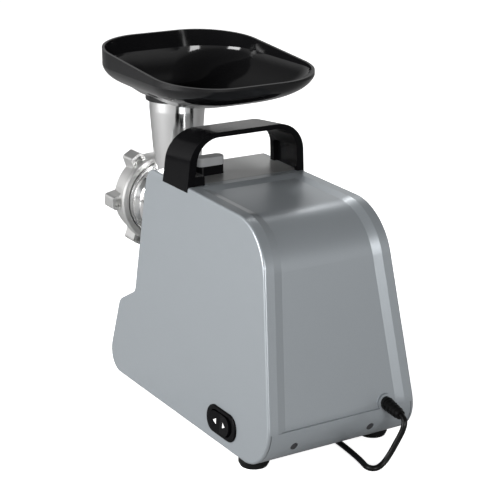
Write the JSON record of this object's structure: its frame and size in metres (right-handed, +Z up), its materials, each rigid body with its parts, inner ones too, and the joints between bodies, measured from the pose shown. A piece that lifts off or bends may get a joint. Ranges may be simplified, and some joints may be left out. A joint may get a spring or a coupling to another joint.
{
  "type": "electric meat grinder",
  "caption": "Countertop electric meat grinder: silver-grey motor housing with arched handle, metal grinding head with ring nut, black hopper tray, rocker switch and cord.",
  "frame": {"origin": "on the surface it stands on, under the middle of the grinder without its cord", "axes": "+Z up, -Y towards the ring nut (front), +X the switch side"},
  "size_m": [0.1532, 0.3883, 0.3137],
  "materials": {
    "housing_paint": "satin silver-grey paint on moulded plastic",
    "cover_paint": "satin silver-grey paint on moulded plastic",
    "black_plastic": "fine-grained black",
    "tray_plastic": "smooth black",
    "grey_plastic": "satin grey",
    "rubber": "matt",
    "cord_sheath": "satin PVC",
    "tie_plastic": "matt",
    "head_aluminium": "polished casting",
    "collar_metal": "turned",
    "steel": "ground",
    "screw_steel": "zinc plated",
    "gear_nylon": "moulded",
    "bush_bronze": "sintered",
    "case_plastic": "moulded",
    "lamination": "stacked sheet",
    "copper": "enamelled wire",
    "carbon": "pressed carbon"
  },
  "bodies": {
    "housing": {"base_plate": "housing_paint", "brush_holders": "case_plastic", "button_spring": "steel", "carbon_brushes": "carbon", "collar_screws": "screw_steel", "cord_boot": "rubber", "cord_coil": "cord_sheath", "cord_plug": "cord_sheath", "cord_run": "cord_sheath", "cord_tail": "cord_sheath", "cord_tie": "tie_plastic", "field_coil_lower": "copper", "field_coil_upper": "copper", "foot_front_left": "rubber", "foot_front_right": "rubber", "foot_rear_left": "rubber", "foot_rear_right": "rubber", "front_cover": "cover_paint", "gearbox_case": "case_plastic", "gearbox_cover": "case_plastic", "gearbox_screws": "screw_steel", "handle": "black_plastic", "housing_shell": "housing_paint", "idler_pin_one": "steel", "idler_pin_two": "steel", "motor_cradle": "case_plastic", "motor_front_bracket": "steel", "motor_front_bush": "bush_bronze", "motor_rear_bracket": "steel", "motor_rear_bush": "bush_bronze", "motor_screws": "screw_steel", "motor_stator": "lamination", "output_bush_front": "bush_bronze", "output_bush_rear": "bush_bronze", "rear_screws": "screw_steel", "socket_collar": "collar_metal", "switch_bezel": "black_plastic", "switch_body": "case_plastic"},
    "rotor": {"rotor_shaft": "steel", "armature_core": "lamination", "armature_front_winding": "copper", "armature_rear_winding": "copper", "commutator": "copper", "cooling_fan": "case_plastic"},
    "idler_one": {"idler_gear_one": "gear_nylon"},
    "idler_two": {"idler_gear_two": "gear_nylon"},
    "drive": {"output_gear": "gear_nylon", "output_shaft": "steel", "auger": "head_aluminium", "knife": "steel"},
    "head": {"head_body": "head_aluminium", "grinding_plate": "steel"},
    "nut": {"ring_nut": "head_aluminium"},
    "tray": {"hopper_tray": "tray_plastic"},
    "button": {"release_button_cap": "grey_plastic", "release_button_stem": "black_plastic"},
    "rocker": {"switch_rocker": "black_plastic"}
  },
  "joints": [
    {"name": "motor_spin", "type": "hinge", "parent": "housing", "child": "rotor", "pos_m": [0, 0.05, 0.08463], "axis": [0, -1, 0], "continuous": true},
    {"name": "idler_one_spin", "type": "hinge", "parent": "housing", "child": "idler_one", "pos_m": [0, -0.02, 0.10463], "axis": [0, -1, 0], "continuous": true},
    {"name": "idler_two_spin", "type": "hinge", "parent": "housing", "child": "idler_two", "pos_m": [0, -0.02, 0.12563], "axis": [0, -1, 0], "continuous": true},
    {"name": "auger_spin", "type": "hinge", "parent": "housing", "child": "drive", "pos_m": [0, -0.1, 0.155], "axis": [0, -1, 0], "continuous": true},
    {"name": "head_turn", "type": "hinge", "parent": "housing", "child": "head", "pos_m": [0, -0.07, 0.155], "axis": [0, -1, 0], "range_deg": [0, 45]},
    {"name": "nut_spin", "type": "hinge", "parent": "head", "child": "nut", "pos_m": [0, -0.15, 0.155], "axis": [0, -1, 0], "continuous": true},
    {"name": "tray_lift", "type": "slide", "parent": "head", "child": "tray", "axis": [0, 0, 1], "range_m": [0, 0.04]},
    {"name": "button_press", "type": "slide", "parent": "housing", "child": "button", "axis": [0, 0, -1], "range_m": [0, 0.006], "stiffness_N_per_m": 500, "springref_m": -0.004, "deforming": ["button_spring"]},
    {"name": "rocker_tilt", "type": "hinge", "parent": "housing", "child": "rocker", "pos_m": [0.07034, 0.096, 0.02845], "axis": [-0.0827, 0, 0.9966], "range_deg": [-10, 10]}
  ],
  "couplings": [
    {"joint": "idler_one_spin", "follows": "motor_spin", "ratio": -0.25},
    {"joint": "idler_two_spin", "follows": "motor_spin", "ratio": 0.078125},
    {"joint": "auger_spin", "follows": "motor_spin", "ratio": -0.023872}
  ]
}
